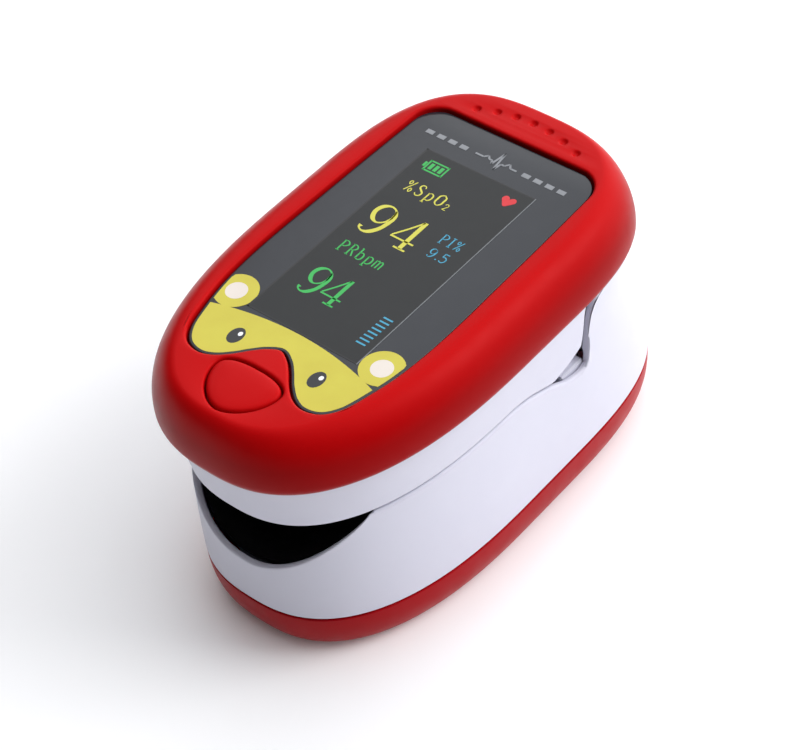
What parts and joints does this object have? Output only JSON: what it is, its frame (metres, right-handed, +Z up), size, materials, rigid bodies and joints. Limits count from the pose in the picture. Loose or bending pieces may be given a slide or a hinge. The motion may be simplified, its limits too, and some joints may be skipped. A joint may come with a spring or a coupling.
{
  "type": "fingertip pulse oximeter",
  "caption": "Sprung clip with a display panel, a push button, a padded finger channel and a sliding battery door.",
  "frame": {"origin": "under the middle of the whole object, on the plane it stands on", "axes": "+Z up, -Y towards the finger opening, +Y towards the squeezed end, +X to the right when looking from the opening"},
  "size_m": [0.035, 0.0603, 0.0347],
  "materials": {
    "red_abs": "satin red moulded plastic",
    "white_abs": "satin cool white moulded plastic",
    "black_silicone": "matt black silicone",
    "dark_lens": "polished dark acrylic with print behind it",
    "sensor_clear": "tinted clear window",
    "frame_plastic": "grey moulding",
    "circuit_board": "solder mask",
    "dark_component": "black component body",
    "cell_sleeve": "printed metal sleeve with no text",
    "nickel": "nickel plate",
    "steel": "bright steel",
    "polyimide": "amber flexible circuit"
  },
  "bodies": {
    "lower_clip": {"lower_shell": "white_abs", "bottom_cover": "red_abs", "battery_cell_1": "cell_sleeve", "battery_cell_2": "cell_sleeve", "bridge_contact": "nickel", "positive_contact": "nickel", "negative_contact": "nickel", "lower_frame": "frame_plastic", "lower_finger_pad": "black_silicone", "sensor_window": "sensor_clear", "photodiode": "dark_component", "sensor_board": "circuit_board", "hinge_pin": "steel", "torsion_spring_left": "steel", "torsion_spring_right": "steel", "flex_ribbon": "polyimide", "lower_screw_1": "steel", "lower_screw_2": "steel", "lower_screw_3": "steel", "lower_screw_4": "steel"},
    "upper_clip": {"top_cover": "red_abs", "upper_shell": "white_abs", "display_panel": "dark_lens", "display_module": "dark_lens", "main_board": "circuit_board", "processor_chip": "dark_component", "buzzer": "dark_component", "tact_switch_body": "dark_component", "upper_finger_pad": "black_silicone", "emitter_board": "circuit_board", "emitter_led": "dark_component", "emitter_window": "sensor_clear", "upper_screw_1": "steel", "upper_screw_2": "steel", "upper_screw_3": "steel", "upper_screw_4": "steel"},
    "door": {"battery_door": "red_abs"},
    "button": {"power_button": "red_abs"},
    "plunger": {"switch_plunger": "dark_component"}
  },
  "joints": [
    {"name": "clip_hinge", "type": "hinge", "parent": "lower_clip", "child": "upper_clip", "pos_m": [0, 0.0092, 0.0186], "axis": [-1, 0, 0], "range_deg": [0, 12], "stiffness_Nm_per_rad": 0.12, "springref_deg": -28.65, "deforming": ["torsion_spring_left", "torsion_spring_right", "flex_ribbon"]},
    {"name": "door_slide", "type": "slide", "parent": "lower_clip", "child": "door", "axis": [0, 1, 0], "range_m": [0, 0.008]},
    {"name": "button_press", "type": "slide", "parent": "upper_clip", "child": "button", "axis": [0, 0, -1], "range_m": [0, 0.00035], "stiffness_N_per_m": 400},
    {"name": "plunger_press", "type": "slide", "parent": "upper_clip", "child": "plunger", "axis": [0, 0, -1], "range_m": [0, 0.00035]}
  ],
  "couplings": [
    {"joint": "plunger_press", "follows": "button_press", "ratio": 1}
  ]
}
